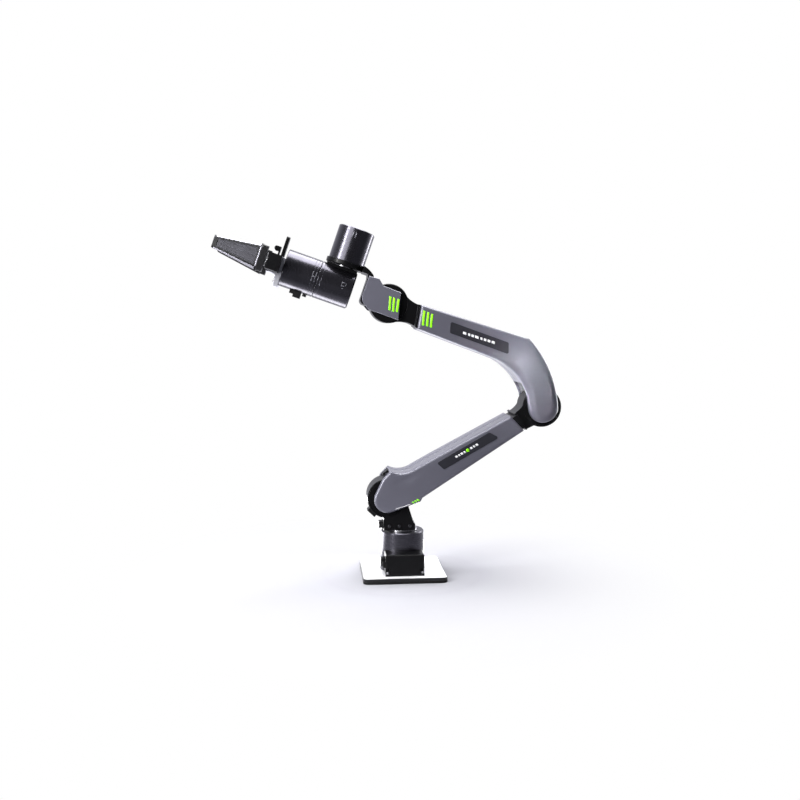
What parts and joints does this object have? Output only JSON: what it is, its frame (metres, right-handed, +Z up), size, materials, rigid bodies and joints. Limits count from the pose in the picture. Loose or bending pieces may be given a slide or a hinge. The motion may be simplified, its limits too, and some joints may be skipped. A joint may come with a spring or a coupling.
{
  "type": "desktop robot arm",
  "caption": "Six-joint tabletop robot arm with enclosed joint motors, curved grey covers, a square base plate and a parallel two-jaw gripper.",
  "frame": {"origin": "middle of the base pad's underside, on the base joint's axis", "axes": "+X forward over the front of the base, +Y to the arm's left side with the connector housing, +Z up"},
  "size_m": [0.5162, 0.125, 0.5273],
  "materials": {
    "cover_grey": "satin painted shell, purple grey",
    "black_casting": "black anodised, satin",
    "motor_black": "dark anodised, fine turned finish",
    "plate_metal": "bright satin top, blackened edges",
    "rubber_black": "matt",
    "frame_metal": "plain milled",
    "silver_metal": "satin machined",
    "steel": "ground",
    "winding": "laminations and copper",
    "socket_black": "moulded",
    "label_dark": "smooth film",
    "finger_grey": "moulded, fine grain"
  },
  "bodies": {
    "base": {"base_pad": "rubber_black", "base_plate": "plate_metal", "base_motor_case": "motor_black", "base_stator": "winding", "base_bearing": "steel", "base_housing": "black_casting", "base_connectors": "socket_black", "base_screws": "steel"},
    "turret": {"turret_rotor": "steel", "shoulder_yoke": "black_casting", "yoke_screws": "steel", "shoulder_motor_case": "motor_black", "shoulder_stator": "winding", "shoulder_connector": "socket_black", "turret_socket": "socket_black"},
    "upper_arm": {"shoulder_rotor": "steel", "upper_cover_near": "cover_grey", "upper_cover_far": "cover_grey", "upper_frame": "frame_metal", "upper_cover_screws": "steel", "upper_label": "label_dark", "cable_clip": "socket_black", "elbow_bracket": "black_casting", "elbow_motor_case": "motor_black", "elbow_stator": "winding"},
    "forearm": {"elbow_rotor": "steel", "fore_cover_near": "cover_grey", "fore_cover_far": "cover_grey", "fore_frame": "frame_metal", "fore_cover_screws": "steel", "fore_label": "label_dark", "wrist_bracket": "black_casting", "wrist_motor_case": "motor_black", "wrist_stator": "winding"},
    "wrist_pitch": {"wrist_rotor": "steel", "wrist_plate_near": "cover_grey", "wrist_plate_far": "cover_grey", "wrist_cradle": "black_casting", "yaw_motor_case": "motor_black", "yaw_stator": "winding"},
    "wrist_yaw": {"yaw_rotor": "steel", "yaw_saddle": "black_casting", "roll_motor_case": "motor_black", "roll_stator": "winding"},
    "gripper": {"roll_rotor": "steel", "gripper_motor_case": "motor_black", "gripper_stator": "winding", "gripper_mount": "silver_metal", "gripper_beam": "black_casting", "guide_rail": "steel", "camera_bracket": "black_casting", "gripper_connector": "socket_black", "gripper_screws": "steel"},
    "pinion": {"drive_pinion": "steel"},
    "jaw_near": {"jaw_near_carriage": "steel", "jaw_near_finger": "finger_grey", "jaw_near_pad": "rubber_black"},
    "jaw_far": {"jaw_far_carriage": "steel", "jaw_far_finger": "finger_grey", "jaw_far_pad": "rubber_black"}
  },
  "joints": [
    {"name": "base_yaw", "type": "hinge", "parent": "base", "child": "turret", "pos_m": [0, 0, 0.0677], "axis": [0, 0, 1], "range_deg": [-150, 150]},
    {"name": "shoulder_pitch", "type": "hinge", "parent": "turret", "child": "upper_arm", "pos_m": [0.024, 0, 0.119], "axis": [0, 1, 0], "range_deg": [-30, 110]},
    {"name": "elbow_pitch", "type": "hinge", "parent": "upper_arm", "child": "forearm", "pos_m": [-0.21046, 0, 0.25491], "axis": [0, -1, 0], "range_deg": [-45, 130]},
    {"name": "wrist_pitch_joint", "type": "hinge", "parent": "forearm", "child": "wrist_pitch", "pos_m": [0.02145, 0, 0.41035], "axis": [0, 1, 0], "range_deg": [-90, 90]},
    {"name": "wrist_yaw_joint", "type": "hinge", "parent": "wrist_pitch", "child": "wrist_yaw", "pos_m": [0.09553, 0, 0.436], "axis": [-0.3272, 0, 0.9449], "range_deg": [-90, 90]},
    {"name": "wrist_roll_joint", "type": "hinge", "parent": "wrist_yaw", "child": "gripper", "pos_m": [0.12634, 0, 0.44667], "axis": [0.9449, 0, 0.3272], "range_deg": [-120, 120]},
    {"name": "jaw_near_slide", "type": "slide", "parent": "gripper", "child": "jaw_near", "axis": [0, -1, 0], "range_m": [0, 0.0355]},
    {"name": "jaw_far_slide", "type": "slide", "parent": "gripper", "child": "jaw_far", "axis": [0, 1, 0], "range_m": [0, 0.0355]},
    {"name": "pinion_spin", "type": "hinge", "parent": "gripper", "child": "pinion", "pos_m": [0.18776, 0, 0.46794], "axis": [0.9449, 0, 0.3272], "range_deg": [-1, 341]}
  ],
  "couplings": [
    {"joint": "jaw_far_slide", "follows": "jaw_near_slide", "ratio": 1},
    {"joint": "pinion_spin", "follows": "jaw_near_slide", "rad_per_m": 166.67}
  ]
}
